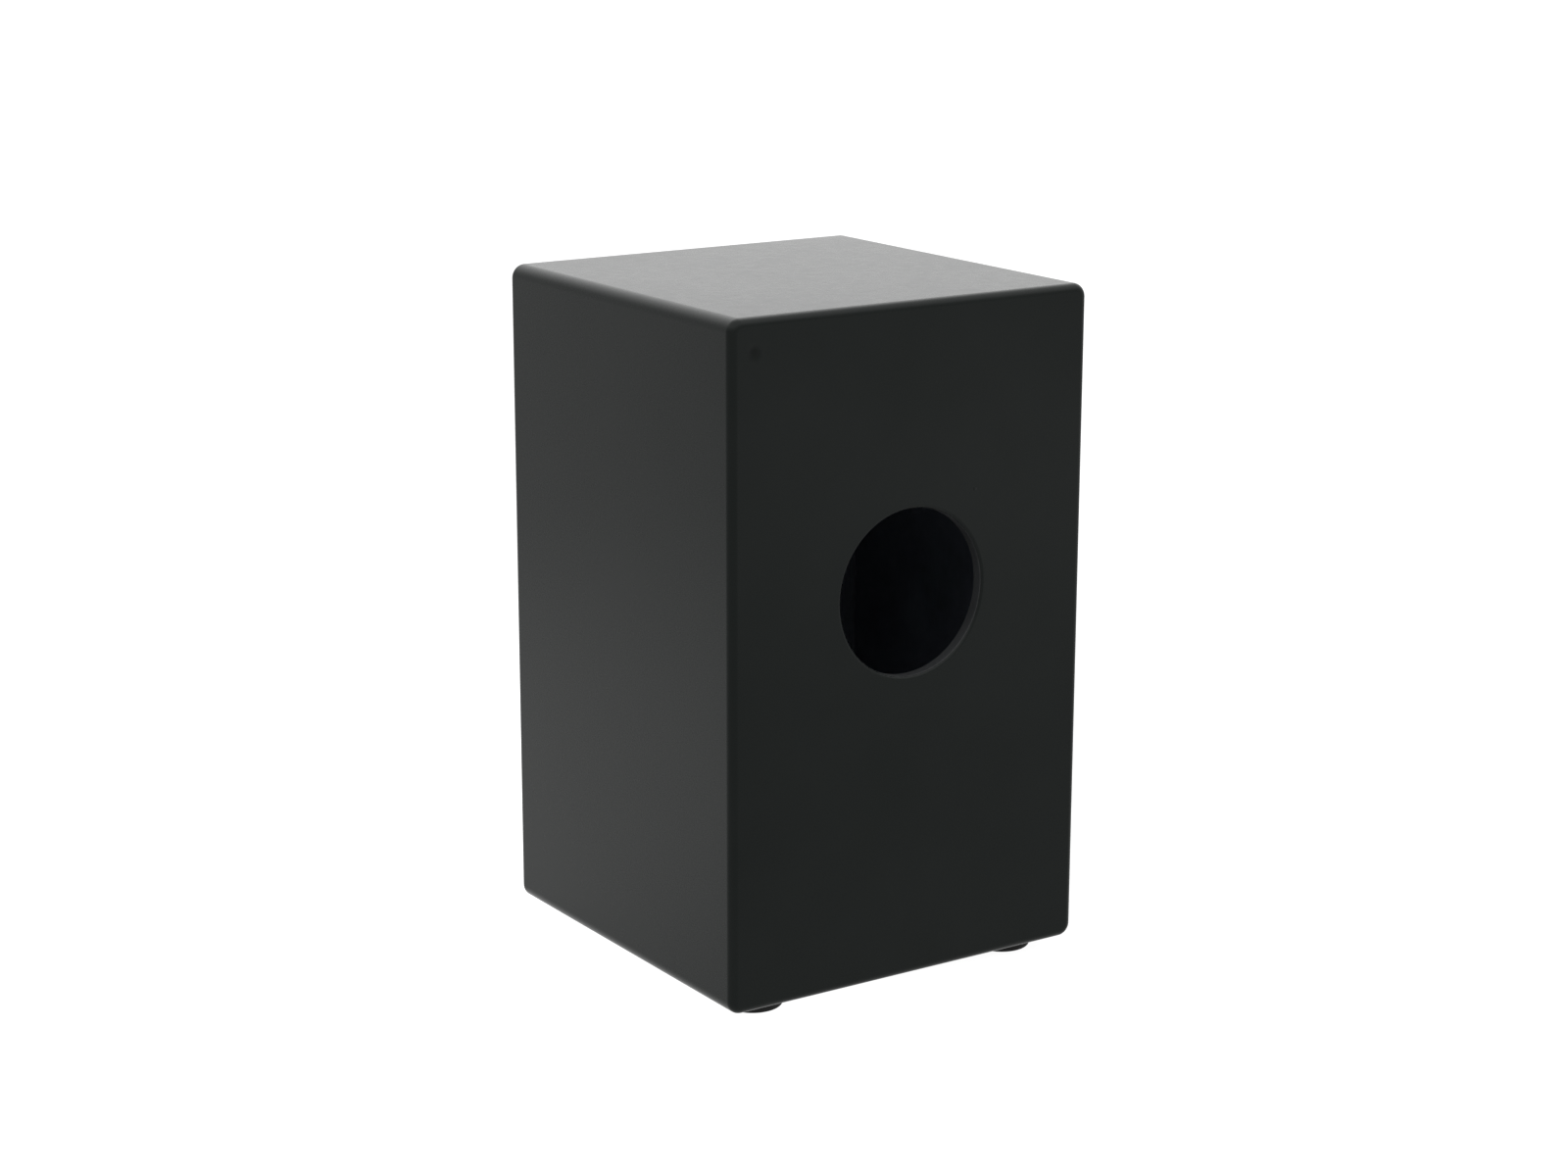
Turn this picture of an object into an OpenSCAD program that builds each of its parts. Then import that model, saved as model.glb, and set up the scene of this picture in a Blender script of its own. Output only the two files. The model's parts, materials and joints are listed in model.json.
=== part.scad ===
// Cajon: a glued plywood box drum on four rubber feet, with a thin playing plate at the front, a
// sound hole in the back panel and a snare beam inside that tilts the wires on and off the plate.
//
// Frame: millimetres, origin on the floor below the middle of the box, +Z up. The playing plate
// faces -Y, the sound hole faces +Y, and +X is the left hand of the seated player.

/* [Box] */
// Width of the box across the playing plate
body_w = 300; // [280:1:320]
// Depth of the box from plate to back panel
body_d = 300; // [280:1:320]
// Height of the box without its feet
body_h = 488; // [460:1:500]
// Thickness of the top, bottom and side boards
board_t = 12; // [11:0.5:18]
// Radius of the four edges that run from the plate to the back panel
long_r = 10; // [8:0.5:11]
// Radius of the rounding that runs round the front and the back of the box
edge_r = 6; // [5:0.5:7]
// Thickness of the back panel
back_t = 9; // [8.5:0.5:12]
// Thickness of the playing plate
plate_t = 3; // [2.5:0.5:4]

/* [Sound hole] */
// Radius of the sound hole
hole_r = 60; // [45:1:70]
// Height of the hole's centre above the underside of the box
hole_up = 283; // [240:1:320]
// Radius of the rounding on the hole's outer edge
hole_edge_r = 2.5; // [1:0.5:4]

/* [Inner frame] */
// Width of the corner posts, measured along X
post_w = 20; // [18:1:26]
// Depth of the front posts, measured along Y
front_post_d = 30; // [28:1:36]
// Depth of the back posts, measured along Y
back_post_d = 20; // [16:1:30]
// Depth of the cross rails, measured along Y
rail_d = 15; // [12:1:20]
// Height of the cross rails
rail_h = 20; // [16:1:24]

/* [Feet] */
// Height of the rubber feet
foot_h = 9; // [7:0.5:12]
// Radius of a foot where it meets the box
foot_r = 23; // [20:0.5:24]
// Distance of the feet from the middle, along X
foot_x = 110; // [100:1:120]
// Distance of the feet from the middle, along Y
foot_y = 115; // [100:1:120]

/* [Snare] */
// Distance from the middle of the box to the snare hinge, towards the plate
hinge_y = 130; // [129:0.5:131]
// Height of the snare hinge above the floor
hinge_z = 345; // [330:1:360]
// Lean of the snare wires towards the plate at rest, in degrees
rest_lean = 3.5; // [2:0.1:3.6]
// Side of the square snare beam
beam_s = 16; // [15:0.5:17]
// Length of the snare wires below the hinge
wire_len = 108; // [80:1:108]
// Distance between neighbouring snare wires
wire_pitch = 4; // [3:0.1:4.2]
// Distance of each wire set from the middle
wire_x = 55; // [45:1:65]
// Reach of the lever behind the beam
lever_len = 62; // [50:1:70]

/* [Hidden] */
$fn = 96;
// Radial play of a fastener in its bore, and how far a cutting shape runs past a surface
play = 0.05;
cut = 1;
// The box: outer faces, inner faces, and the centres of the long edges' roundings
z0 = foot_h;
z1 = foot_h + body_h;
hx = body_w / 2;
hy = body_d / 2;
ix = hx - board_t;
iz0 = z0 + board_t;
iz1 = z1 - board_t;
ax = hx - long_r;
az0 = z0 + long_r;
az1 = z1 - long_r;
plate_y = -hy + plate_t;
back_y = hy - back_t;
hole_z = z0 + hole_up;
// Inner faces and middles of the corner posts
post_x0 = ix - post_w;
post_xc = ix - post_w / 2;
// Countersunk screws of the playing plate, six up each side
screw_r = 1.75;
screw_head_r = 3.4;
screw_l = 14;
screw_z0 = iz0 + rail_h / 2;
screw_dz = (body_h - 2 * board_t - rail_h) / 5;
// Headless pins of the back panel, sunk below its face and filled over
pin_r = 1.25;
pin_l = 21;
pin_sunk = 2.5;
pin_x = hx - 19;
pin_z0 = z0 + 23;
pin_dz = (body_h - 46) / 5;
// Dowels between the side boards and the end boards
dowel_r = 3;
dowel_x = ix + 5;
dowel_gap = body_d / 3;
dowel_in_side = 21;
dowel_in_end = 6.5;
// Fixings of the feet
recess_r = 7;
recess_h = foot_h - 3;
foot_screw_r = 2;
foot_screw_l = 14;
washer_t = 1.2;
washer_z = recess_h - washer_t;
// Snare hinge, beam, wires and lever
pivot_r = 4;
pivot_in = 17.5;
felt_t = 1.9;
beam_x = post_x0 - 2;
hb = beam_s / 2;
m3_r = 1.5;
m3_hole_r = 1.6;
wire_n = 10;
wire_r = 1;
strip_w = 42;
strip_t = 1;
clamp_w = 40;
clamp_t = 1.5;
clamp_screw_dx = 14;
lever_w = 14;
lever_t = 2.5;

// ---------- colours ----------
module lacquer() color([0.10, 0.11, 0.11]) children();
module dark_wood() color([0.22, 0.23, 0.26]) children();
module beech() color([0.72, 0.56, 0.38]) children();
module steel() color([0.68, 0.69, 0.70]) children();
module black_steel() color([0.16, 0.16, 0.17]) children();
module rubber() color([0.08, 0.08, 0.08]) children();
module felt() color([0.30, 0.31, 0.33]) children();

// ---------- shared shapes ----------
// The slice between depths a and b of an edge rounded by edge_r; u runs outwards, v towards the
// rounded face, and the rounding starts at v = 0. The flat part reaches from u = 0 to len.
module edge_slice(len, a, b) {
  translate([0, a]) square([len, b - a]);
  if (b > 0)
    intersection() {
      translate([len, 0]) circle(r = edge_r);
      translate([len, max(a, 0)]) square([2 * edge_r, b - max(a, 0)]);
    }
  if (a < 0)
    translate([len, a]) square([edge_r, -a]);
}

// A strip of that slice along X, centred, with its outside up and its rounded face towards -Y.
module strip_x(length) {
  rotate([90, 0, 90])
    linear_extrude(height = length, center = true)
      rotate(90)
        children();
}

// A quarter turn of that slice about Y, for a corner whose outside is towards +X and +Z.
module corner_turn() {
  rotate([90, 0, 0])
    rotate_extrude(angle = 90)
      children();
}

// Round rods and bores along the three axes, from a start point.
module rod_x(p, r, l) translate(p) rotate([0, 90, 0]) cylinder(r = r, h = l);
module rod_y(p, r, l) translate(p) rotate([-90, 0, 0]) cylinder(r = r, h = l);
module rod_z(p, r, l) translate(p) cylinder(r = r, h = l);

// A rounded front or back panel between depths a and b, as nine blocks that share faces. Its
// rounded face looks towards -Y and depth 0 lies on y = 0.
module rounded_panel(a, b) {
  w = 2 * ax;
  h = az1 - az0;
  len = long_r - edge_r;
  translate([-ax, -b, az0]) cube([w, b - a, h]);
  for (s = [0, 1])
    mirror([s, 0, 0]) {
      translate([ax, 0, az0])
        linear_extrude(height = h)
          mirror([0, 1])
            edge_slice(len, a, b);
      translate([ax, 0, az1]) corner_turn() edge_slice(len, a, b);
      translate([ax, 0, az0]) mirror([0, 0, 1]) corner_turn() edge_slice(len, a, b);
    }
  translate([0, 0, az1]) strip_x(w) edge_slice(len, a, b);
  translate([0, 0, az0]) mirror([0, 0, 1]) strip_x(w) edge_slice(len, a, b);
}

// ---------- boards ----------
// The top board; the bottom board is its mirror image.
module end_board() {
  front = -hy + edge_r;
  past = edge_r - plate_t;
  translate([-ax, front, iz1]) cube([2 * ax, back_y - front, board_t]);
  translate([0, front, iz1]) strip_x(2 * ax) edge_slice(board_t - edge_r, 0, past);
  for (s = [0, 1])
    mirror([s, 0, 0]) {
      translate([ax, front, iz1]) cube([long_r, back_y - front, board_t - long_r]);
      translate([ax, back_y, az1])
        rotate([90, 0, 0])
          linear_extrude(height = back_y - front)
            intersection() {
              circle(r = long_r);
              square(2 * long_r);
            }
      translate([ax, front, iz1])
        linear_extrude(height = board_t - long_r)
          mirror([0, 1])
            edge_slice(long_r - edge_r, 0, past);
      translate([ax, front, az1]) corner_turn() edge_slice(long_r - edge_r, 0, past);
    }
}

// The dowels, or with some room at their ends the bores that take them.
module dowels(r, room) {
  length = dowel_in_side + dowel_in_end + 2 * room;
  for (z = [iz1 - dowel_in_side - room, iz0 - dowel_in_end - room])
    for (sx = [-1, 1])
      for (i = [-1:1])
        rod_z([sx * dowel_x, i * dowel_gap, z], r, length);
}

module dowel_bores() {
  dowels(dowel_r + play, 0.5);
}

module top_panel() {
  lacquer()
    difference() {
      end_board();
      dowel_bores();
    }
}

module bottom_panel() {
  lacquer()
    difference() {
      translate([0, 0, z0 + z1]) mirror([0, 0, 1]) end_board();
      dowel_bores();
      foot_places() rod_z([0, 0, z0 - cut], foot_screw_r + play, 10.5 + cut);
    }
}

module side_board() {
  front = -hy + edge_r;
  difference() {
    translate([ix, 0, iz0])
      linear_extrude(height = iz1 - iz0) {
        translate([0, front]) square([board_t, back_y - front]);
        translate([0, front]) mirror([0, 1]) edge_slice(board_t - edge_r, 0, edge_r - plate_t);
      }
    dowel_bores();
  }
}

module left_side_panel() {
  lacquer() side_board();
}

module right_side_panel() {
  lacquer() mirror([1, 0, 0]) side_board();
}

module back_panel() {
  lacquer()
    difference() {
      union() {
        difference() {
          translate([0, hy - edge_r, 0])
            rotate([0, 0, 180])
              rounded_panel(edge_r - back_t, edge_r);
          rod_y([0, back_y - cut, hole_z], hole_r + hole_edge_r, back_t + 2 * cut);
        }
        translate([0, back_y, hole_z])
          rotate([-90, 0, 0])
            rotate_extrude() {
              translate([hole_r, 0]) square([hole_edge_r, back_t - hole_edge_r]);
              intersection() {
                translate([hole_r + hole_edge_r, back_t - hole_edge_r]) circle(r = hole_edge_r);
                translate([hole_r - cut, back_t - hole_edge_r])
                  square([hole_edge_r + cut, hole_edge_r + cut]);
              }
            }
      }
      pin_places() rod_y([0, back_y - cut, 0], pin_r + play, back_t - pin_sunk + 0.5 + cut);
    }
}

module playing_plate() {
  lacquer()
    difference() {
      translate([0, -hy + edge_r, 0]) rounded_panel(edge_r - plate_t, edge_r);
      plate_screw_places() {
        rod_y([0, -hy - cut, 0], screw_r + play, plate_t + 2 * cut);
        translate([0, -hy - 0.3, 0])
          rotate([-90, 0, 0])
            cylinder(r1 = screw_head_r + 0.5, r2 = screw_r + play, h = 2.1);
      }
    }
}

// ---------- inner frame ----------
module front_post() {
  difference() {
    translate([post_x0, plate_y, iz0]) cube([post_w, front_post_d, iz1 - iz0]);
    plate_screw_places() rod_y([0, plate_y - cut, 0], screw_r + play, 16.5 + cut);
    rod_x([post_x0 - cut, -hinge_y, hinge_z], pivot_r + play, 12 + cut);
  }
}

module front_post_left() {
  dark_wood() front_post();
}

module front_post_right() {
  dark_wood() mirror([1, 0, 0]) front_post();
}

module front_rail(z) {
  dark_wood()
    difference() {
      translate([-post_x0, plate_y, z]) cube([2 * post_x0, rail_d, rail_h]);
      plate_screw_places() rod_y([0, plate_y - cut, 0], screw_r + play, 13 + cut);
    }
}

module front_rail_top() {
  front_rail(iz1 - rail_h);
}

module front_rail_bottom() {
  front_rail(iz0);
}

module back_post() {
  difference() {
    translate([post_x0, back_y - back_post_d, iz0]) cube([post_w, back_post_d, iz1 - iz0]);
    pin_places() rod_y([0, back_y - 15, 0], pin_r + play, 15 + cut);
  }
}

module back_post_left() {
  dark_wood() back_post();
}

module back_post_right() {
  dark_wood() mirror([1, 0, 0]) back_post();
}

module back_rail_top() {
  dark_wood() translate([-post_x0, back_y - rail_d, iz1 - rail_h]) cube([2 * post_x0, rail_d, rail_h]);
}

module back_rail_bottom() {
  dark_wood() translate([-post_x0, back_y - rail_d, iz0]) cube([2 * post_x0, rail_d, rail_h]);
}

// ---------- fasteners of the box ----------
module plate_screw_places() {
  for (sx = [-1, 1])
    for (i = [0:5])
      translate([sx * post_xc, 0, screw_z0 + i * screw_dz]) children();
  for (sx = [-1, 1])
    for (i = [0, 5])
      translate([sx * post_xc / 3, 0, screw_z0 + i * screw_dz]) children();
}

module panel_dowels() {
  beech() dowels(dowel_r, 0);
}

// A cross recess to cut from a screw head that faces -Z, from z = 0 inwards.
module cross_recess(reach, slot_w, depth) {
  translate([-reach, -slot_w / 2, -cut]) cube([2 * reach, slot_w, depth + cut]);
  translate([-slot_w / 2, -reach, -cut]) cube([slot_w, 2 * reach, depth + cut]);
}

// A cheese-head screw of thread radius r that points along +Z, with its head below z = 0.
module cheese_head_screw(r, head_r, head_h, length) {
  difference() {
    union() {
      translate([0, 0, -head_h]) cylinder(r = head_r, h = head_h);
      cylinder(r = r, h = length);
    }
    translate([0, 0, -head_h]) cross_recess(r, 0.7, 0.8);
  }
}

module playing_plate_screws() {
  cone_h = screw_head_r - screw_r;
  black_steel()
    plate_screw_places()
      translate([0, -hy + 0.1, 0])
        rotate([-90, 0, 0])
          difference() {
            union() {
              cylinder(r1 = screw_head_r, r2 = screw_r, h = cone_h);
              translate([0, 0, cone_h]) cylinder(r = screw_r, h = screw_l);
            }
            cross_recess(1.7, 0.8, 1.1);
          }
}

module pin_places() {
  for (sx = [-1, 1])
    for (i = [0:5])
      translate([sx * pin_x, 0, pin_z0 + i * pin_dz]) children();
}

module back_panel_pins() {
  steel() pin_places() rod_y([0, hy - pin_sunk - pin_l, 0], pin_r, pin_l);
}

// ---------- feet ----------
module foot(sx, sy) {
  low_r = foot_r - 1.2;
  round_r = 3;
  rubber()
    translate([sx * foot_x, sy * foot_y, 0])
      difference() {
        rotate_extrude()
          polygon(concat(
            [[0, 0]],
            [for (a = [0:15:90]) [low_r - round_r * (1 - sin(a)), round_r * (1 - cos(a))]],
            [[foot_r, foot_h], [0, foot_h]]
          ));
        translate([0, 0, -cut]) cylinder(r = recess_r, h = recess_h + cut);
        translate([0, 0, -cut]) cylinder(r = foot_screw_r + 0.3, h = foot_h + 2 * cut);
      }
}

module foot_front_left() {
  foot(1, -1);
}

module foot_front_right() {
  foot(-1, -1);
}

module foot_back_left() {
  foot(1, 1);
}

module foot_back_right() {
  foot(-1, 1);
}

module foot_places() {
  for (sx = [-1, 1])
    for (sy = [-1, 1])
      translate([sx * foot_x, sy * foot_y, 0]) children();
}

module foot_washers() {
  steel()
    foot_places()
      translate([0, 0, washer_z])
        difference() {
          cylinder(r = recess_r - 0.5, h = washer_t);
          translate([0, 0, -cut]) cylinder(r = foot_screw_r + 0.1, h = washer_t + 2 * cut);
        }
}

module foot_screws() {
  steel()
    foot_places()
      translate([0, 0, washer_z - 2.2])
        difference() {
          union() {
            cylinder(r1 = 3.2, r2 = 4, h = 0.8);
            translate([0, 0, 0.8]) cylinder(r = 4, h = 1.4);
            translate([0, 0, 2.2]) cylinder(r = foot_screw_r, h = foot_screw_l);
          }
          cross_recess(2, 1, 1.4);
        }
}

// ---------- snare ----------
// The tilting body's own frame: the hinge on the origin, wires hanging along -Z, leaning at rest.
module on_hinge() {
  translate([0, -hinge_y, hinge_z]) rotate([-rest_lean, 0, 0]) children();
}

module snare_beam() {
  beech()
    on_hinge()
      difference() {
        translate([-beam_x, -hb, -hb]) cube([2 * beam_x, beam_s, beam_s]);
        for (s = [0, 1])
          mirror([s, 0, 0])
            rod_x([beam_x - pivot_in - 0.5, 0, 0], pivot_r + 0.02, pivot_in + 0.5 + cut);
        clamp_screw_places() rod_y([0, -hb - cut, 0], m3_r + play, 7.5 + cut);
        lever_screw_places() rod_y([0, hb - 6.5, 0], m3_r + play, 6.5 + cut);
      }
}

module pivot_pin() {
  on_hinge() rod_x([beam_x - pivot_in, 0, 0], pivot_r, pivot_in + 13);
}

module snare_pivot_pin_left() {
  steel() pivot_pin();
}

module snare_pivot_pin_right() {
  steel() mirror([1, 0, 0]) pivot_pin();
}

module pivot_washer() {
  translate([post_x0 - felt_t, -hinge_y, hinge_z])
    rotate([0, 90, 0])
      difference() {
        cylinder(r = 9, h = felt_t);
        translate([0, 0, -cut]) cylinder(r = pivot_r + 0.08, h = felt_t + 2 * cut);
      }
}

module pivot_washer_left() {
  felt() pivot_washer();
}

module pivot_washer_right() {
  felt() mirror([1, 0, 0]) pivot_washer();
}

module clamp_screw_places() {
  for (sx = [-1, 1])
    for (dx = [-clamp_screw_dx, clamp_screw_dx])
      translate([sx * wire_x + dx, 0, 2.5]) children();
}

module wire_set() {
  first_x = wire_x - (wire_n - 1) / 2 * wire_pitch;
  on_hinge() {
    difference() {
      translate([wire_x - strip_w / 2, -hb - strip_t, -6]) cube([strip_w, strip_t, 12]);
      clamp_screw_places() rod_y([0, -hb - strip_t - cut, 0], m3_hole_r, strip_t + 2 * cut);
    }
    for (i = [0:wire_n - 1])
      rod_z([first_x + i * wire_pitch, -hb - 1.15, -wire_len], wire_r, wire_len - 1.6);
  }
}

module snare_wires_left() {
  steel() wire_set();
}

module snare_wires_right() {
  steel() mirror([1, 0, 0]) wire_set();
}

module clamp() {
  on_hinge()
    difference() {
      translate([wire_x - clamp_w / 2, -hb - strip_t - clamp_t, -1]) cube([clamp_w, clamp_t, 7]);
      clamp_screw_places() rod_y([0, -hb - strip_t - clamp_t - cut, 0], m3_hole_r, clamp_t + 2 * cut);
    }
}

module snare_clamp_left() {
  steel() clamp();
}

module snare_clamp_right() {
  steel() mirror([1, 0, 0]) clamp();
}

module snare_clamp_screws() {
  black_steel()
    on_hinge()
      clamp_screw_places()
        translate([0, -hb - strip_t - clamp_t, 0])
          rotate([-90, 0, 0])
            cheese_head_screw(m3_r, 2.9, 1.5, 9.5);
}

module lever_screw_places() {
  for (z = [-1, 5])
    translate([0, 0, z]) children();
}

// A bent steel strip: a foot on the beam's back face and an arm towards the sound hole.
module snare_lever() {
  black_steel()
    on_hinge()
      difference() {
        union() {
          translate([-lever_w / 2, hb, -hb]) cube([lever_w, lever_t, beam_s]);
          translate([-lever_w / 2, hb + lever_t, -hb]) cube([lever_w, lever_len - lever_t, lever_t]);
        }
        lever_screw_places() rod_y([0, hb - cut, 0], m3_hole_r, lever_t + 2 * cut);
      }
}

// A moulded sleeve pushed over the end of the arm, which a hand through the sound hole can find.
module lever_knob() {
  rubber()
    on_hinge()
      difference() {
        translate([-lever_w / 2 - 3, hb + lever_len - 20, -hb - 3]) cube([lever_w + 6, 24, 8.5]);
        translate([-lever_w / 2 - play, hb + lever_len - 20 - cut, -hb - play])
          cube([lever_w + 2 * play, 20 + cut + play, lever_t + 2 * play]);
      }
}

module lever_screws() {
  black_steel()
    on_hinge()
      lever_screw_places()
        translate([0, hb + lever_t, 0])
          rotate([90, 0, 0])
            cheese_head_screw(m3_r, 2.7, 1.5, 8.5);
}

// ---------- draw ----------
top_panel();
bottom_panel();
left_side_panel();
right_side_panel();
back_panel();
playing_plate();
front_post_left();
front_post_right();
front_rail_top();
front_rail_bottom();
back_post_left();
back_post_right();
back_rail_top();
back_rail_bottom();
panel_dowels();
playing_plate_screws();
back_panel_pins();
foot_front_left();
foot_front_right();
foot_back_left();
foot_back_right();
foot_washers();
foot_screws();
snare_beam();
snare_pivot_pin_left();
snare_pivot_pin_right();
pivot_washer_left();
pivot_washer_right();
snare_wires_left();
snare_wires_right();
snare_clamp_left();
snare_clamp_right();
snare_clamp_screws();
snare_lever();
lever_knob();
lever_screws();
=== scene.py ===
"""Looks of a black cajon: satin lacquer, rubber feet, a beam with wound wires, a pale studio."""
import json
import math

import bmesh
import bpy
from mathutils import Matrix, Vector


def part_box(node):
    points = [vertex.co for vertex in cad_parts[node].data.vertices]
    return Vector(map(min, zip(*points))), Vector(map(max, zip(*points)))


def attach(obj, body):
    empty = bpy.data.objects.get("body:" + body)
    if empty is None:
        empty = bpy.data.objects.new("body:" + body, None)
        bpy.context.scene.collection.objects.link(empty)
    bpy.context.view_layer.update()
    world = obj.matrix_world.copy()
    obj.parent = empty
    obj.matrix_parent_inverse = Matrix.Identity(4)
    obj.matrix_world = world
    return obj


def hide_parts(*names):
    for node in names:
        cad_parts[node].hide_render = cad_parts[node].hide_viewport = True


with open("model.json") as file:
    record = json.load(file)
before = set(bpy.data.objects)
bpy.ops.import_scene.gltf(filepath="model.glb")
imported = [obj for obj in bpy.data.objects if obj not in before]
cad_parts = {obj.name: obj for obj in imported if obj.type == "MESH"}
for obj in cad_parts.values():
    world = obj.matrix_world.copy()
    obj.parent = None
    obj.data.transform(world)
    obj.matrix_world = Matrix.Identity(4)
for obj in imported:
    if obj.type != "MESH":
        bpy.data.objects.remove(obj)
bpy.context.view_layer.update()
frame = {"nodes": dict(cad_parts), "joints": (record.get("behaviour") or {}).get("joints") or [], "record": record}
NODES = frame["nodes"]
MM = 0.001

# ---------- sizes, from the frame ----------
BACK_LO, BACK_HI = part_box("back_panel")
SIDE_LO, SIDE_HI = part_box("left_side_panel")
HALF_X = BACK_HI.x
HALF_Y = BACK_HI.y
BODY_Z0 = BACK_LO.z
BODY_Z1 = BACK_HI.z
INNER_X = SIDE_LO.x
INNER_Z0 = SIDE_LO.z
INNER_Z1 = SIDE_HI.z
PLATE_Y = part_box("playing_plate")[1].y
BACK_Y = BACK_LO.y
LONG_R = 10 * MM  # the four edges from front to back
EDGE_R = 6 * MM  # all round the plate and the back panel
CORE_X = HALF_X - LONG_R
CORE_Z0 = BODY_Z0 + LONG_R
CORE_Z1 = BODY_Z1 - LONG_R
ROUND_Y = HALF_Y - EDGE_R
HOLE = next(m for m in frame["record"]["mounts"] if m["name"] == "sound_hole")
HOLE_Z = HOLE["pos_m"][2]
HOLE_R = HOLE["dims"]["r_mm"] * MM
HOLE_EDGE_R = BACK_HI.y - BACK_Y - HOLE["dims"]["length_mm"] * MM
SEAM = 0.25 * MM  # the fine groove where the plate meets the box
ARC = 10  # steps in each quarter turn

HINGE = Vector(frame["joints"][0]["pos_m"])
REST_LEAN = math.radians(3.5)  # the beam's lean at rest, wires towards the plate
ON_HINGE = Matrix.Translation(HINGE) @ Matrix.Rotation(-REST_LEAN, 4, "X")


# ---------- node helpers ----------
class Shader:
    """A material with a Principled shader, and short ways to add the nodes that drive it."""

    def __init__(self, name):
        self.mat = bpy.data.materials.new(name)
        self.mat.use_nodes = True
        self.tree = self.mat.node_tree
        self.bsdf = self.tree.nodes["Principled BSDF"]
        self.place = self.add("ShaderNodeTexCoord").outputs["Object"]

    def add(self, kind, **inputs):
        node = self.tree.nodes.new(kind)
        for key, value in inputs.items():
            self.put(node, key, value)
        return node

    def put(self, node, key, value):
        """Sets or links an input, named like Base_Color, or like _0 for its number."""
        socket = node.inputs[int(key[1:]) if key[1:].isdigit() else key.replace("_", " ")]
        if isinstance(value, bpy.types.NodeSocket):
            self.tree.links.new(value, socket)
        else:
            socket.default_value = value

    def set(self, **inputs):
        for key, value in inputs.items():
            self.put(self.bsdf, key, value)
        return self

    def stretched(self, scale):
        node = self.add("ShaderNodeMapping", Vector=self.place, Scale=scale)
        return node.outputs["Vector"]

    def noise(self, scale, detail=4.0, rough=0.5, distortion=0.0, vector=None):
        node = self.add("ShaderNodeTexNoise", Vector=vector or self.place, Scale=scale,
                        Detail=detail, Roughness=rough, Distortion=distortion)
        return node.outputs["Fac"]

    def ranged(self, value, lo, hi, to_lo, to_hi, smooth=False):
        node = self.add("ShaderNodeMapRange", Value=value, From_Min=lo, From_Max=hi,
                        To_Min=to_lo, To_Max=to_hi)
        if smooth:
            node.interpolation_type = "SMOOTHSTEP"
        return node.outputs["Result"]

    def math(self, kind, a, b=0.0):
        node = self.add("ShaderNodeMath", _0=a, _1=b)
        node.operation = kind
        return node.outputs["Value"]

    def mixed(self, fac, a, b):
        node = self.add("ShaderNodeMix")
        node.data_type = "RGBA"
        for index, value in ((0, fac), (6, a), (7, b)):
            if isinstance(value, bpy.types.NodeSocket):
                self.tree.links.new(value, node.inputs[index])
            else:
                node.inputs[index].default_value = value
        return node.outputs[2]

    def bump(self, height, distance, strength=1.0, normal=None):
        node = self.add("ShaderNodeBump", Height=height, Distance=distance, Strength=strength)
        if normal is not None:
            self.put(node, "Normal", normal)
        return node.outputs["Normal"]


def rgb(r, g, b):
    return (r, g, b, 1.0)


# ---------- materials ----------
LACQUER_IOR = 1.18
LACQUER = rgb(0.0029, 0.0040, 0.0036)
LACQUER_WORN = rgb(0.0038, 0.0049, 0.0045)
# painted shade: the colour that the pin's dip goes dark to at its centre
PAINTED_SHADE = rgb(0.0003, 0.0009, 0.0007)
PEEL_HEIGHT = 0.005
WAVE_HEIGHT = 0.010


def lacquer(name, marks=()):
    """Sprayed satin black: faint mottling, orange peel, slow waves in the sanding under it.

    A mark is a dip (or a bump, if its depth is negative) with a centre, a radius, a depth in mm and
    how far its colour is painted dark towards its centre, as painted shade in the dip.
    """
    s = Shader(name)
    cloud = s.noise(9.0, 3.0, 0.6)
    fine = s.noise(140.0, 5.0, 0.65)
    colour = s.mixed(s.ranged(cloud, 0.35, 0.7, 0.0, 1.0), LACQUER, LACQUER_WORN)
    rough = s.math("ADD", s.ranged(cloud, 0.3, 0.7, 0.270, 0.285),
                   s.ranged(fine, 0.3, 0.7, -0.015, 0.015))
    s.set(Roughness=rough, IOR=LACQUER_IOR, Specular_IOR_Level=0.5)
    height = s.math("ADD", s.math("MULTIPLY", s.noise(850.0, 2.0), PEEL_HEIGHT),
                    s.math("MULTIPLY", s.noise(22.0, 2.0, 0.4), WAVE_HEIGHT))
    for centre, radius, depth, shade_amount in marks:
        near = s.add("ShaderNodeVectorMath", _0=s.place, _1=centre)
        near.operation = "DISTANCE"
        away = near.outputs["Value"]
        dip = s.ranged(away, 0.35 * radius, radius, -depth, 0.0, smooth=True)
        height = s.math("ADD", height, dip)
        # painted shade: the mark's colour darkens towards its centre, standing in for shade in the dip
        if shade_amount:
            colour = s.mixed(s.ranged(away, 0.0, radius, shade_amount, 0.0, smooth=True), colour, PAINTED_SHADE)
    s.set(Base_Color=colour)
    s.set(Normal=s.bump(height, 1.0 * MM, 0.7))
    return s.mat


def plate_lacquer(name):
    """The playing plate: the same black over a thin veneer whose long pores still show."""
    s = Shader(name)
    grain = s.noise(1.0, 5.0, 0.6, 0.4, s.stretched((420.0, 420.0, 9.0)))
    band = s.noise(1.0, 3.0, 0.5, 1.2, s.stretched((26.0, 26.0, 1.6)))
    s.set(Base_Color=s.mixed(s.ranged(band, 0.35, 0.7, 0.0, 1.0), LACQUER, LACQUER_WORN),
          Roughness=s.ranged(band, 0.3, 0.7, 0.30, 0.37), IOR=LACQUER_IOR, Specular_IOR_Level=0.5)
    height = s.math("ADD", s.ranged(grain, 0.42, 0.58, -0.05, 0.0),
                    s.math("MULTIPLY", s.noise(20.0, 2.0, 0.4), 0.04))
    s.set(Normal=s.bump(height, 1.0 * MM, 0.7))
    return s.mat


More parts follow.
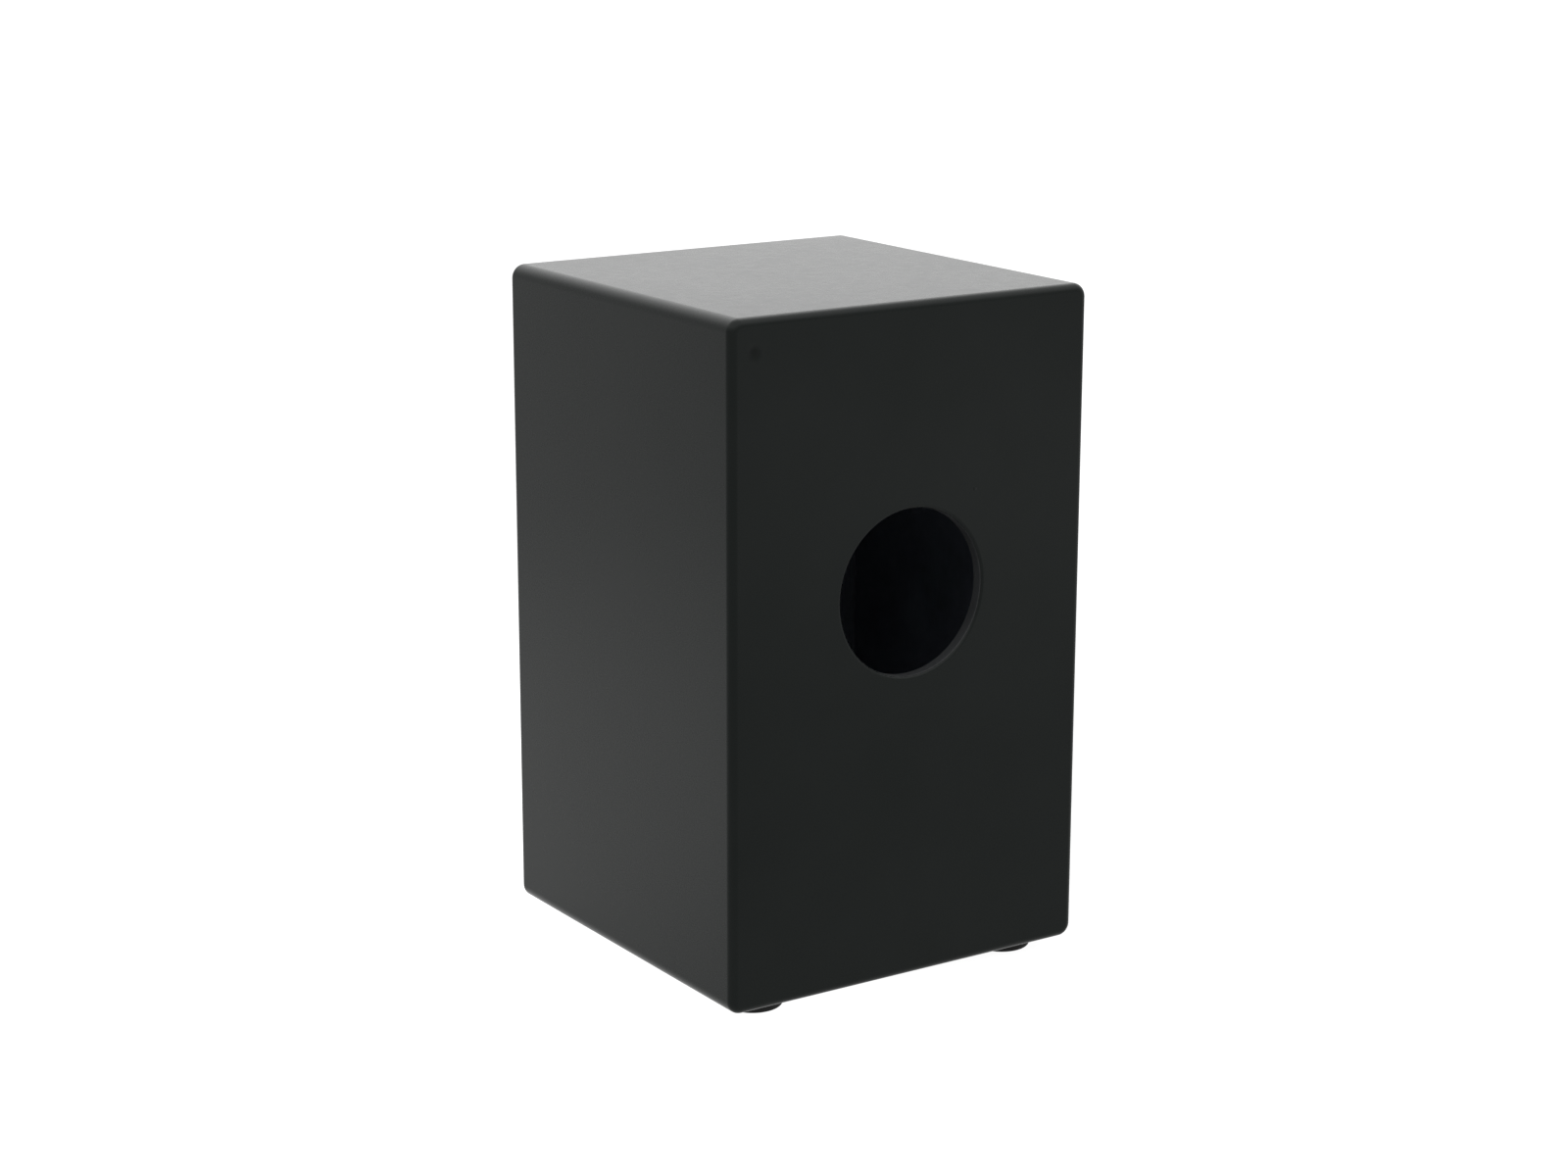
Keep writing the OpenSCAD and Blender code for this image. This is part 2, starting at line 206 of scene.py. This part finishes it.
def thin_coat(name, colour, rough):
    """Where the spray only dusted the wood: the inside of the box and the wall of the hole."""
    s = Shader(name)
    cloud = s.noise(26.0, 4.0, 0.6)
    fuzz = s.noise(1.0, 4.0, 0.6, 0.0, s.stretched((500.0, 500.0, 60.0)))
    darker = tuple(0.7 * c for c in colour[:3]) + (1.0,)
    s.set(Base_Color=s.mixed(s.ranged(cloud, 0.35, 0.7, 0.0, 1.0), colour, darker),
          Roughness=s.ranged(fuzz, 0.3, 0.7, rough - 0.06, rough + 0.06), Specular_IOR_Level=0.4)
    s.set(Normal=s.bump(fuzz, 0.06 * MM, 0.5))
    return s.mat


def drawn_out(along, across_scale, along_scale):
    """Noise scale of a pattern that is stretched along one axis."""
    scale = [across_scale] * 3
    scale[along] = along_scale
    return scale


def wood(name, light, dark, along, rough=0.55):
    """Planed hardwood with its grain along one axis: rings, fibres and short dark flecks."""
    s = Shader(name)
    ring = s.noise(1.0, 3.0, 0.55, 1.6, s.stretched(drawn_out(along, 34.0, 2.2)))
    fibre = s.noise(1.0, 4.0, 0.6, 0.0, s.stretched(drawn_out(along, 900.0, 16.0)))
    spots = s.noise(1.0, 1.0, 0.5, 0.0, s.stretched(drawn_out(along, 520.0, 55.0)))
    fleck = s.ranged(spots, 0.68, 0.74, 0.0, 1.0)
    tone = s.math("ADD", s.math("MULTIPLY", ring, 0.65), s.math("MULTIPLY", fibre, 0.35))
    base = s.mixed(s.ranged(tone, 0.36, 0.66, 0.0, 1.0), light, dark)
    s.set(Base_Color=s.mixed(s.math("MULTIPLY", fleck, 0.5), base, dark),
          Roughness=s.ranged(fibre, 0.3, 0.7, rough - 0.06, rough + 0.08), Specular_IOR_Level=0.35)
    relief = s.math("SUBTRACT", fibre, s.math("MULTIPLY", fleck, 0.6))
    s.set(Normal=s.bump(relief, 0.12 * MM, 0.6))
    return s.mat


def metal(name, colour, rough, brushed_along=None):
    """Plated steel: a cloudy zinc film, or fine drawing lines along one axis."""
    s = Shader(name)
    cloud = s.noise(160.0, 4.0, 0.6)
    fine = 2600.0
    scale = [fine] * 3 if brushed_along is None else drawn_out(brushed_along, fine, 60.0)
    lines = s.noise(1.0, 3.0, 0.6, 0.0, s.stretched(scale))
    darker = tuple(0.72 * c for c in colour[:3]) + (1.0,)
    s.set(Base_Color=s.mixed(s.ranged(cloud, 0.3, 0.7, 0.0, 1.0), colour, darker), Metallic=1.0,
          Roughness=s.math("ADD", s.ranged(cloud, 0.3, 0.7, rough - 0.05, rough + 0.06),
                           s.ranged(lines, 0.3, 0.7, -0.04, 0.04)))
    s.set(Normal=s.bump(lines, 0.02 * MM, 0.5))
    return s.mat


def rubber(name):
    """Moulded black rubber: dusty, matte and a little pebbled."""
    s = Shader(name)
    dust = s.noise(70.0, 5.0, 0.7)
    s.set(Base_Color=s.mixed(s.ranged(dust, 0.45, 0.75, 0.0, 1.0), rgb(0.004, 0.004, 0.004),
                             rgb(0.010, 0.010, 0.0095)),
          Roughness=s.ranged(dust, 0.3, 0.7, 0.62, 0.78), Specular_IOR_Level=0.12)
    s.set(Normal=s.bump(s.noise(1500.0, 2.0), 0.08 * MM, 0.5))
    return s.mat


def felt(name):
    """Pressed grey felt with loose fibres."""
    s = Shader(name)
    fibre = s.noise(1.0, 6.0, 0.8, 2.0, s.stretched((900.0, 1500.0, 700.0)))
    s.set(Base_Color=s.mixed(fibre, rgb(0.05, 0.05, 0.055), rgb(0.16, 0.16, 0.17)), Roughness=0.95,
          Specular_IOR_Level=0.15, Sheen_Weight=0.3, Sheen_Roughness=0.5)
    s.set(Normal=s.bump(fibre, 0.4 * MM, 0.8))
    return s.mat


FLOOR_GLOW = 0.81
# painted light: pools of extra glow on the floor, each a centre, a radius and a gain
PAINTED_LIGHT_POOLS = (((0.35, -0.45, 0.0), 1.1, 0.45), ((-1.1, 1.7, 0.0), 1.3, 0.75))


def floor_finish(name):
    """A white table lit from within, with painted pools of light in its glow, each with a centre, radius and gain.
    """
    s = Shader(name)
    glow = FLOOR_GLOW
    for centre, radius, gain in PAINTED_LIGHT_POOLS:
        near = s.add("ShaderNodeVectorMath", _0=s.place, _1=centre)
        near.operation = "DISTANCE"
        # painted pool of light: the floor's glow rises towards each centre
        painted_pool = s.ranged(near.outputs["Value"], 0.15 * radius, radius, gain, 0.0, smooth=True)
        glow = s.math("ADD", painted_pool, glow)
    s.set(Base_Color=rgb(0.12, 0.12, 0.12), Roughness=0.9, Specular_IOR_Level=0.1,
          Emission_Color=rgb(1.0, 1.0, 1.0), Emission_Strength=glow)
    return s.mat


# ---------- mesh helpers ----------
def new_object(name, mesh, material):
    obj = bpy.data.objects.new(name, mesh)
    bpy.context.scene.collection.objects.link(obj)
    mesh.materials.append(material)
    return obj


def from_bmesh(name, bm, material):
    bmesh.ops.recalc_face_normals(bm, faces=bm.faces)
    mesh = bpy.data.meshes.new(name)
    bm.to_mesh(mesh)
    bm.free()
    for poly in mesh.polygons:
        poly.use_smooth = True
    return new_object(name, mesh, material)


def add_ring(bm, points):
    """New vertices at the points, as one ring."""
    return [bm.verts.new(p) for p in points]


def skin(bm, a, b):
    """A band of quads between two rings of the same count."""
    count = len(a)
    for i in range(count):
        j = (i + 1) % count
        bm.faces.new((a[i], a[j], b[j], b[i]))


def fill_between(bm, *rings):
    """A flat face inside the first ring, less the others."""
    edges = []
    for ring in rings:
        for i, v in enumerate(ring):
            w = ring[(i + 1) % len(ring)]
            edges.append(bm.edges.get((v, w)) or bm.edges.new((v, w)))
    bmesh.ops.triangle_fill(bm, edges=edges, use_beauty=True, use_dissolve=False)


def arc(centre, radius, start, stop, steps):
    """Points of an arc in a plane, as (a, b) pairs, with angles in degrees."""
    out = []
    for i in range(steps + 1):
        t = math.radians(start + (stop - start) * i / steps)
        out.append((centre[0] + radius * math.cos(t), centre[1] + radius * math.sin(t)))
    return out


def crease(obj, normal_at):
    """Exact normals where the surface has a formula, and flat ones on every other face."""
    mesh = obj.data
    out = []
    for poly in mesh.polygons:
        for loop in poly.loop_indices:
            exact = normal_at(mesh.vertices[mesh.loops[loop].vertex_index].co)
            good = exact is not None and exact.dot(poly.normal) > 0.8
            out.append(exact if good else poly.normal.copy())
    mesh.normals_split_custom_set(out)
    return obj


def soften(obj, width, segments=2, angle=40.0):
    """A small bevel with hardened normals, which leave the faces flat."""
    bevel = obj.modifiers.new("edges", "BEVEL")
    bevel.width = width
    bevel.segments = segments
    bevel.limit_method = "ANGLE"
    bevel.angle_limit = math.radians(angle)
    bevel.harden_normals = True
    return obj


# ---------- the box ----------
def body_normal(p):
    """Outward normal of the rounded box at a point on its outside, or None within it."""
    core = Vector((min(max(p.x, -CORE_X), CORE_X), 0.0, min(max(p.z, CORE_Z0), CORE_Z1)))
    out = Vector((p.x - core.x, 0.0, p.z - core.z))
    rim = max(out.length - (LONG_R - EDGE_R), 0.0)
    past = max(abs(p.y) - ROUND_Y, 0.0)
    if rim < 1e-7 and past < 1e-7:
        return None
    side = out.normalized() if out.length > 1e-7 else Vector()
    return (side * rim + Vector((0.0, math.copysign(past, p.y), 0.0))).normalized()


def inset_at(y):
    """How far the rounding has drawn the outline in at a depth."""
    past = max(abs(y) - ROUND_Y, 0.0)
    return EDGE_R - math.sqrt(max(EDGE_R**2 - past**2, 0.0))


def rounding_depths(start, stop):
    """Depths along the rounding, evenly spaced in angle, from start to stop past its origin."""
    a, b = (math.asin(min(v / EDGE_R, 1.0)) for v in (start, stop))
    return [EDGE_R * math.sin(a + (b - a) * i / ARC) for i in range(ARC + 1)]


def outline(y, inset):
    """The box's whole outline at a depth, with an arc at each corner."""
    r = LONG_R - inset
    points = arc((CORE_X, CORE_Z1), r, 0, 90, ARC) + arc((-CORE_X, CORE_Z1), r, 90, 180, ARC)
    points += arc((-CORE_X, CORE_Z0), r, 180, 270, ARC) + arc((CORE_X, CORE_Z0), r, 270, 360, ARC)
    return [Vector((x, y, z)) for x, z in points]


def circle(y, radius, steps=144):
    """A circle around the sound hole's axis at a depth."""
    return [Vector((x, y, HOLE_Z + z)) for x, z in arc((0, 0), radius, 0, 360, steps)[:-1]]


def make_back_panel(material):
    """The back board: its rounded outside, and the sound hole with a rounded outer edge."""
    bm = bmesh.new()
    rings = [add_ring(bm, outline(BACK_Y, 0.0))]
    for past in rounding_depths(0.0, EDGE_R):
        y = ROUND_Y + past
        rings.append(add_ring(bm, outline(y, inset_at(y))))
    for a, b in zip(rings, rings[1:]):
        skin(bm, a, b)
    edge = arc((HOLE_R + HOLE_EDGE_R, HALF_Y - HOLE_EDGE_R), HOLE_EDGE_R, 90, 180, ARC)
    mouth = [add_ring(bm, circle(y, r)) for r, y in edge]
    mouth.append(add_ring(bm, circle(BACK_Y, HOLE_R)))
    for a, b in zip(mouth, mouth[1:]):
        skin(bm, a, b)
    fill_between(bm, rings[-1], mouth[0])
    fill_between(bm, rings[0], mouth[-1])
    obj = from_bmesh("back_panel_lacquered", bm, material)
    obj.data.materials.append(thin_coat("hole wall", rgb(0.018, 0.019, 0.020), 0.5))
    for poly in obj.data.polygons:
        c = poly.center
        bore = math.hypot(c.x, c.z - HOLE_Z) < HOLE_R + 0.2 * MM
        if bore and abs(poly.normal.y) < 0.5:
            poly.material_index = 1

    def normal_at(p):
        away = Vector((p.x, 0.0, p.z - HOLE_Z))
        if away.length > HOLE_R + HOLE_EDGE_R + 1e-5:
            return body_normal(p)
        past = max(p.y - (HALF_Y - HOLE_EDGE_R), 0.0)
        inwards = away.normalized() * (away.length - HOLE_R - HOLE_EDGE_R)
        return (inwards + Vector((0.0, past, 0.0))).normalized()

    return crease(obj, normal_at)


SCREW_HEAD_R = 3.4 * MM
SINK_R = 3.6 * MM
SINK_FLOOR_R = 1.8 * MM
SINK_DEPTH = 1.9 * MM
SINK_STEPS = 24


def make_playing_plate(material):
    """The struck plate: the front of the rounding, with a sink at each screw."""
    bm = bmesh.new()
    start = -PLATE_Y - ROUND_Y
    depths = rounding_depths(start, EDGE_R)
    first = outline(PLATE_Y, inset_at(PLATE_Y) + SEAM)
    rings = [add_ring(bm, first)]
    for past in [start + SEAM] + depths[1:]:
        y = -ROUND_Y - past
        rings.append(add_ring(bm, outline(y, inset_at(y))))
    for a, b in zip(rings, rings[1:]):
        skin(bm, a, b)
    bm.faces.new(rings[0])
    sinks = []
    for centre in plate_screw_places():
        top, low = (
            add_ring(bm, [centre + Vector((x, depth, z))
                          for x, z in arc((0, 0), radius, 0, 360, SINK_STEPS)[:-1]])
            for radius, depth in ((SINK_R, 0.0), (SINK_FLOOR_R, SINK_DEPTH)))
        skin(bm, top, low)
        bm.faces.new(low)
        sinks.append(top)
    fill_between(bm, rings[-1], *sinks)
    return crease(from_bmesh("playing_plate_lacquered", bm, material), body_normal)


def plate_screw_places():
    """Centres of the plate's screws on its face: six up each side, and two between at each end."""
    lo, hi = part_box("playing_plate_screws")
    x, z0, z1 = hi.x - SCREW_HEAD_R, lo.z + SCREW_HEAD_R, hi.z - SCREW_HEAD_R
    gaps = 5
    places = [(s * x, z0 + (z1 - z0) * i / gaps) for s in (-1, 1) for i in range(gaps + 1)]
    places += [(s * x / 3, z) for s in (-1, 1) for z in (z0, z1)]
    return [Vector((along, -HALF_Y, up)) for along, up in places]


def ring_levels():
    """Depths and insets of the boards from plate to back: a fine seam, the rounding, the run."""
    start = -PLATE_Y - ROUND_Y
    levels = [(PLATE_Y, inset_at(PLATE_Y) + SEAM), (PLATE_Y + SEAM, inset_at(PLATE_Y + SEAM))]
    for past in reversed(rounding_depths(0.0, start)[:-1]):
        y = -ROUND_Y - past
        levels.append((y, inset_at(y)))
    levels.append((BACK_Y, 0.0))
    return levels


def loft(name, section, material):
    """A board whose section changes along the box's depth."""
    bm = bmesh.new()
    rings = [add_ring(bm, section(y, inset)) for y, inset in ring_levels()]
    for a, b in zip(rings, rings[1:]):
        skin(bm, a, b)
    bm.faces.new(rings[0])
    bm.faces.new(rings[-1])
    return crease(from_bmesh(name, bm, material), body_normal)


def end_section(z, upwards):
    """Section of the top or bottom board: flat inside, rounded at both ends."""
    def section(y, inset):
        r = LONG_R - inset
        up = CORE_Z1 - INNER_Z1
        ends = arc((CORE_X, up), r, 0, 90, ARC) + arc((-CORE_X, up), r, 90, 180, ARC)
        points = [(CORE_X + r, 0.0)] + ends + [(-CORE_X - r, 0.0)]
        return [Vector((along, y, z + upwards * height)) for along, height in points]
    return section


def side_section(sign):
    """Section of the left (1) or right (-1) board: a plain rectangle."""
    def section(y, inset):
        x = HALF_X - inset
        corners = ((INNER_X, INNER_Z0), (x, INNER_Z0), (x, INNER_Z1), (INNER_X, INNER_Z1))
        return [Vector((sign * out, y, up)) for out, up in corners]
    return section


def coat_inside(obj, material):
    """Gives the faces that look into the box their own finish."""
    mesh = obj.data
    mesh.materials.append(material)
    index = len(mesh.materials) - 1
    for poly in mesh.polygons:
        c = poly.center
        inside_x = abs(c.x) < INNER_X + SEAM
        inside_y = PLATE_Y - SEAM < c.y < BACK_Y + SEAM
        if inside_x and inside_y and INNER_Z0 - SEAM < c.z < INNER_Z1 + SEAM:
            poly.material_index = index


PIN_R = 1.25 * MM


def make_boards():
    """The six boards; the back has a shrunken filling over one pin, and a grain of dust."""
    pin_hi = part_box("back_panel_pins")[1]
    pin = Vector((pin_hi.x - PIN_R, HALF_Y, pin_hi.z - PIN_R))
    speck = Vector((-53 * MM, HALF_Y, BODY_Z1 - 137 * MM))
    # the pin's mark carries painted shade (its colour darkens towards the centre); the speck is only a bump
    back = lacquer("back lacquer", marks=((pin, 7 * MM, 0.25, 1.0), (speck, 1.6 * MM, -0.4, 0.0)))
    shell = lacquer("box lacquer")
    made = {
        "back_panel": make_back_panel(back),
        "playing_plate": make_playing_plate(plate_lacquer("plate lacquer")),
        "top_panel": loft("top_panel_lacquered", end_section(INNER_Z1, 1), shell),
        "bottom_panel": loft("bottom_panel_lacquered", end_section(INNER_Z0, -1), shell),
        "left_side_panel": loft("left_side_panel_lacquered", side_section(1), shell),
        "right_side_panel": loft("right_side_panel_lacquered", side_section(-1), shell),
    }
    dusted = thin_coat("dusted inside", rgb(0.062, 0.071, 0.092), 0.8)
    for node, obj in made.items():
        coat_inside(obj, dusted)
        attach(obj, "box")
        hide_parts(node)


# ---------- feet ----------
FOOT_BORE_R = 2.3 * MM
FOOT_RECESS_R = 7.0 * MM
FOOT_RECESS_H = 5 * MM
FOOT_TREAD_R = 3 * MM
FOOT_LIP_R = 0.8 * MM
FOOT_TAPER = 1.2 * MM


def make_feet(material):
    """Four turned feet, each with a bore, a recess for its washer, and a rounded tread."""
    for node in ("foot_front_left", "foot_front_right", "foot_back_left", "foot_back_right"):
        lo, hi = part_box(node)
        centre = (lo + hi) / 2
        r = (hi.x - lo.x) / 2
        h = hi.z
        low = r - FOOT_TAPER
        fillet = 0.4 * MM
        profile = [(FOOT_BORE_R, h), (FOOT_BORE_R, FOOT_RECESS_H),
                   (FOOT_RECESS_R - fillet, FOOT_RECESS_H),
                   (FOOT_RECESS_R, FOOT_RECESS_H - fillet), (FOOT_RECESS_R, FOOT_LIP_R)]
        profile += arc((FOOT_RECESS_R + FOOT_LIP_R, FOOT_LIP_R), FOOT_LIP_R, 180, 270, 4)
        profile += arc((low - FOOT_TREAD_R, FOOT_TREAD_R), FOOT_TREAD_R, 270, 348, 8)
        profile += arc((r - FOOT_LIP_R, h - FOOT_LIP_R), FOOT_LIP_R, -10, 90, 4)
        bm = bmesh.new()
        rings = []
        for radius, z in profile:
            ring = arc((centre.x, centre.y), radius, 0, 360, 96)[:-1]
            rings.append(add_ring(bm, [Vector((x, y, z)) for x, y in ring]))
        for a, b in zip(rings, rings[1:] + rings[:1]):
            skin(bm, a, b)
        obj = from_bmesh(node + "_rubber", bm, material)
        obj.data.set_sharp_from_angle(angle=math.radians(38))
        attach(obj, "box")
        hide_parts(node)


# ---------- snare ----------
# In the beam's own frame: the hinge is the origin, and the strands hang along -Z.
BEAM = 8 * MM  # half of the beam's thickness
STRIP = 1 * MM
STRIP_L = 42 * MM
STRIP_H = 12 * MM
COIL_R = 1.0 * MM
COIL_Y = -BEAM - 1.15 * MM
WIRE_R = 0.24 * MM
COIL_TOP = -1.6 * MM
COIL_END = -108 * MM
COIL_PITCH = 1.7 * MM
STRANDS = 10
STRAND_GAP = 4 * MM
STRAND_TURN = 2.4  # radians between the starts of neighbouring coils
SET_X = 55 * MM
SOLDER_Z = -3.8 * MM
SOLDER_SIZE = (1.5 * MM, 1.1 * MM, 2.0 * MM)


def coil_mesh(bm, x, y, phase):
    """One close-wound strand hanging along -Z, as a tube swept along a helix."""
    turns = (COIL_TOP - COIL_END - 2 * WIRE_R) / COIL_PITCH
    steps = int(turns * 12)
    radius = COIL_R - WIRE_R
    rings = []
    for i in range(steps + 1):
        t = 2 * math.pi * turns * i / steps + phase
        out = Vector((math.cos(t), math.sin(t), 0.0))
        centre = Vector((x, y, COIL_END + WIRE_R + COIL_PITCH * turns * i / steps)) + out * radius
        ring = [centre + out * (WIRE_R * c) + Vector((0.0, 0.0, WIRE_R * s))
                for c, s in arc((0, 0), 1.0, 0, 360, 5)[:-1]]
        rings.append(add_ring(bm, ring))
    for a, b in zip(rings, rings[1:]):
        skin(bm, a, b)
    bm.faces.new(rings[0])
    bm.faces.new(rings[-1])


def make_snare_wires(side, sign, wire, plate):
    """One set: ten coils in one piece, and the strip with its solder blobs in another."""
    node = "snare_wires_" + side
    bm = bmesh.new()
    first = sign * SET_X - STRAND_GAP * (STRANDS - 1) / 2
    for i in range(STRANDS):
        coil_mesh(bm, first + i * STRAND_GAP, COIL_Y, i * STRAND_TURN)
    coils = from_bmesh(node + "_coils", bm, wire)
    coils.data.transform(ON_HINGE)
    bm = bmesh.new()
    size = Matrix.Diagonal((STRIP_L, STRIP, STRIP_H, 1.0))
    middle = Matrix.Translation((sign * SET_X, -BEAM - STRIP / 2, 0.0))
    bmesh.ops.create_cube(bm, size=1.0, matrix=middle @ size)
    for i in range(STRANDS):
        blob = Matrix.Translation((first + i * STRAND_GAP, -BEAM - STRIP, SOLDER_Z))
        flat = Matrix.Diagonal((*SOLDER_SIZE, 1.0))
        bmesh.ops.create_icosphere(bm, subdivisions=2, radius=1.0, matrix=blob @ flat)
    strip = from_bmesh(node + "_strip", bm, plate)
    strip.data.transform(ON_HINGE)
    strip.data.set_sharp_from_angle(angle=math.radians(40))
    for obj in (coils, strip):
        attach(obj, "snare")
        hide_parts(node)


GRIP_LO = Vector((-10 * MM, 50 * MM, -11 * MM))
GRIP_HI = Vector((10 * MM, 74 * MM, -2.5 * MM))
GRIP_STEPS = 48
GRIP_SIDES = 40
GRIP_SQUARENESS = 0.45
GRIP_RIB_DEPTH = 0.035
GRIP_RIBBED = 0.8


def squared(v):
    """A cosine or sine pushed outwards, which turns a circle into a rounded rectangle."""
    return math.copysign(abs(v) ** GRIP_SQUARENESS, v)


def make_lever_knob(material):
    """A moulded sleeve with rounded ends and finger ribs."""
    middle, half = (GRIP_LO + GRIP_HI) / 2, (GRIP_HI - GRIP_LO) / 2
    bm = bmesh.new()
    rings = []
    for i in range(GRIP_STEPS + 1):
        t = -1 + 2 * i / GRIP_STEPS
        end = math.sqrt(max(1 - abs(t) ** 6, 0.0))
        wave = 0.5 - 0.5 * math.cos(10 * math.pi * t)
        rib = 1 - GRIP_RIB_DEPTH * wave * (abs(t) < GRIP_RIBBED)
        scale = max(end * rib, 0.02)
        points = []
        for k in range(GRIP_SIDES):
            a = 2 * math.pi * k / GRIP_SIDES
            offset = (half.x * squared(math.cos(a)) * scale, half.y * t,
                      half.z * squared(math.sin(a)) * scale)
            points.append(middle + Vector(offset))
        rings.append(add_ring(bm, points))
    for a, b in zip(rings, rings[1:]):
        skin(bm, a, b)
    bm.faces.new(rings[0])
    bm.faces.new(rings[-1])
    obj = from_bmesh("lever_knob_grip", bm, material)
    obj.data.transform(ON_HINGE)
    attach(obj, "snare")
    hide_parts("lever_knob")


# ---------- carried-over CAD nodes ----------
def finish_nodes(names, material, bevel=0.0):
    """Gives CAD nodes their material and, where asked, a small bevel."""
    for name in names:
        obj = NODES[name]
        obj.data.materials.clear()
        obj.data.materials.append(material)
        if bevel:
            soften(obj, bevel)


def make_fittings():
    """The finishes of everything that keeps its CAD shape."""
    stain = [rgb(0.075, 0.082, 0.098), rgb(0.045, 0.050, 0.062)]
    beech = [rgb(0.56, 0.36, 0.20), rgb(0.36, 0.20, 0.10)]
    posts = ["front_post_left", "front_post_right", "back_post_left", "back_post_right"]
    rails = ["front_rail_top", "front_rail_bottom", "back_rail_top", "back_rail_bottom"]
    arris = 0.8 * MM
    finish_nodes(posts, wood("stained posts", *stain, along=2), arris)
    finish_nodes(rails, wood("stained rails", *stain, along=0), arris)
    finish_nodes(["panel_dowels"], wood("dowel beech", *beech, along=2))
    finish_nodes(["snare_beam"], wood("beam beech", *beech, along=0), arris)
    zinc = metal("zinc plate", rgb(0.60, 0.61, 0.62), 0.34)
    black = metal("black oxide", rgb(0.026, 0.026, 0.028), 0.40)
    finish_nodes(["foot_washers", "foot_screws", "back_panel_pins"], zinc)
    finish_nodes(["snare_pivot_pin_left", "snare_pivot_pin_right"],
                 metal("ground pin", rgb(0.62, 0.62, 0.63), 0.24, 0))
    finish_nodes(["snare_clamp_left", "snare_clamp_right"],
                 metal("clamp bar", rgb(0.55, 0.56, 0.57), 0.3, 0), 0.3 * MM)
    finish_nodes(["playing_plate_screws", "snare_clamp_screws", "lever_screws"], black)
    finish_nodes(["snare_lever"], black, 0.4 * MM)
    finish_nodes(["pivot_washer_left", "pivot_washer_right"], felt("pressed felt"), 0.3 * MM)


# ---------- studio ----------
CAMERA_PLACE = Vector((1.2574, 1.8817, 0.8372))
CAMERA_HEADING = math.radians(213.592)
CAMERA_DIP = math.radians(14.220)
CAMERA_ROLL = math.radians(0.126)
CAMERA_LENS = 72.806


def make_camera():
    data = bpy.data.cameras.new("camera")
    data.sensor_width = 36.0
    data.lens = CAMERA_LENS
    cam = bpy.data.objects.new("camera", data)
    bpy.context.scene.collection.objects.link(cam)
    heading = Matrix.Rotation(-CAMERA_HEADING, 4, "Z")
    dip = Matrix.Rotation(math.pi / 2 - CAMERA_DIP, 4, "X")
    roll = Matrix.Rotation(CAMERA_ROLL, 4, "Z")
    cam.matrix_world = Matrix.Translation(CAMERA_PLACE) @ (heading @ dip) @ roll
    bpy.context.scene.camera = cam


def make_floor():
    """A wide disc, just below the feet so that it doesn't share a plane with them."""
    bm = bmesh.new()
    bmesh.ops.create_circle(bm, cap_ends=True, segments=128, radius=45.0)
    bmesh.ops.translate(bm, verts=bm.verts, vec=(0.0, 0.0, -0.1 * MM))
    floor = from_bmesh("floor", bm, floor_finish("studio floor"))


WORLD_BASE = 1.1
BACKDROP_GAIN = 0.70
SKY_GAIN = 1.8


def make_world():
    """A pale dome with two brighter parts: a backdrop behind the object, and softboxes above."""
    world = bpy.data.worlds.new("studio")
    bpy.context.scene.world = world
    world.use_nodes = True
    tree = world.node_tree
    back = tree.nodes["Background"]
    coord = tree.nodes.new("ShaderNodeTexCoord")
    away = Vector((math.sin(CAMERA_HEADING), math.cos(CAMERA_HEADING), 0.12)).normalized()
    up = Vector((0, 0, 1))
    glow = WORLD_BASE
    for direction, start, stop, gain in ((away, 0.45, 1.0, BACKDROP_GAIN),
                                         (up, 0.25, 0.7, SKY_GAIN)):
        towards = tree.nodes.new("ShaderNodeVectorMath")
        towards.operation = "DOT_PRODUCT"
        tree.links.new(coord.outputs["Generated"], towards.inputs[0])
        towards.inputs[1].default_value = direction
        ramp = tree.nodes.new("ShaderNodeMapRange")
        ramp.interpolation_type = "SMOOTHSTEP"
        limits = {"From Min": start, "From Max": stop, "To Min": 0.0, "To Max": gain}
        for key, value in limits.items():
            ramp.inputs[key].default_value = value
        tree.links.new(towards.outputs["Value"], ramp.inputs["Value"])
        total = tree.nodes.new("ShaderNodeMath")
        tree.links.new(ramp.outputs["Result"], total.inputs[0])
        if isinstance(glow, float):
            total.inputs[1].default_value = glow
        else:
            tree.links.new(glow, total.inputs[1])
        glow = total.outputs["Value"]
    tree.links.new(glow, back.inputs["Strength"])
    back.inputs["Color"].default_value = (1.0, 1.0, 1.0, 1.0)


def make_light(name, place, target, width, height, watts):
    data = bpy.data.lights.new(name, "AREA")
    data.shape = "RECTANGLE"
    data.size = width
    data.size_y = height
    data.energy = watts
    lamp = bpy.data.objects.new(name, data)
    bpy.context.scene.collection.objects.link(lamp)
    aim = (Vector(target) - Vector(place)).to_track_quat("-Z", "Y")
    lamp.matrix_world = Matrix.Translation(place) @ aim.to_matrix().to_4x4()


def make_studio():
    make_camera()
    make_world()
    make_floor()
    make_light("overhead softbox", (-0.6, -0.9, 2.4), (0, 0, 0.3), 1.6, 1.6, 10.0)
    bpy.context.scene.view_settings.view_transform = "Standard"


make_studio()
make_boards()
RUBBER = rubber("moulded rubber")
make_feet(RUBBER)
WIRE = metal("drawn wire", rgb(0.66, 0.66, 0.67), 0.25)
SOLDERED = metal("soldered strip", rgb(0.60, 0.60, 0.59), 0.36)
make_snare_wires("left", 1, WIRE, SOLDERED)
make_snare_wires("right", -1, WIRE, SOLDERED)
make_lever_knob(RUBBER)
make_fittings()
